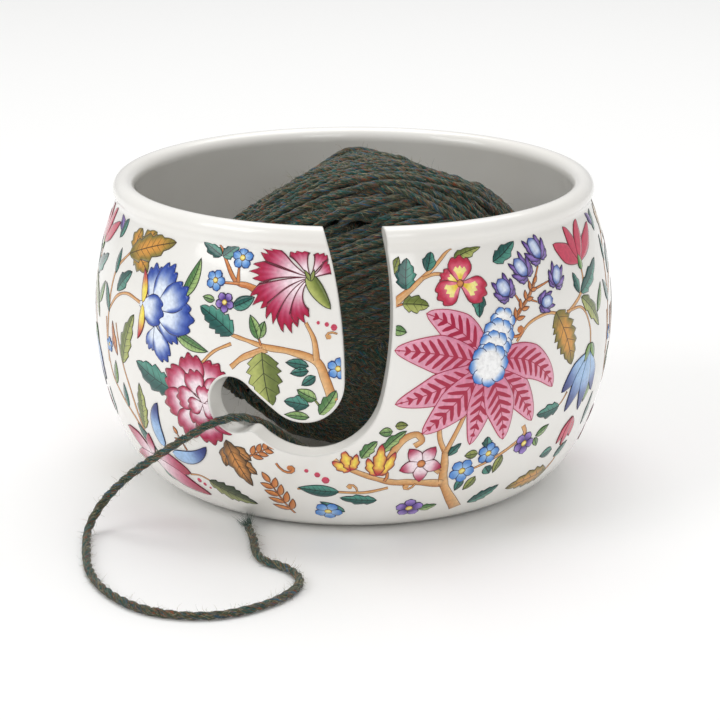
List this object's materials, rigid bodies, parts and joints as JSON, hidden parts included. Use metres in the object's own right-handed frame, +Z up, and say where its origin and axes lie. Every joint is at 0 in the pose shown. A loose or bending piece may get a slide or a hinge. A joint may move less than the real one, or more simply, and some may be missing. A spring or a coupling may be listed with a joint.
{
  "type": "yarn bowl",
  "caption": "Round glazed ceramic yarn bowl with a rolled lip and a J-shaped yarn slot, holding a ball of wool whose end is led out through the slot.",
  "frame": {"origin": "middle of the bowl's foot, on the surface it stands on", "axes": "+Z up along the bowl's axis, the yarn slot faces -Y"},
  "size_m": [0.1598, 0.2119, 0.1013],
  "materials": {
    "bowl_glaze": "glossy clear glaze over a printed floral pattern",
    "wool": "plied heathered wool, slightly fuzzy"
  },
  "bodies": {
    "bowl": {"bowl": "bowl_glaze", "working_yarn": "wool"},
    "ball": {"yarn_ball_core": "wool"},
    "wraps": {"yarn_ball_wraps": "wool"}
  },
  "joints": [
    {"name": "ball_lift", "type": "slide", "parent": "bowl", "child": "ball", "axis": [0, 0, 1], "range_m": [0, 0.095]},
    {"name": "ball_turn", "type": "hinge", "parent": "ball", "child": "wraps", "pos_m": [0.005, 0.002, 0.0543], "axis": [0, 0, 1], "continuous": true}
  ]
}
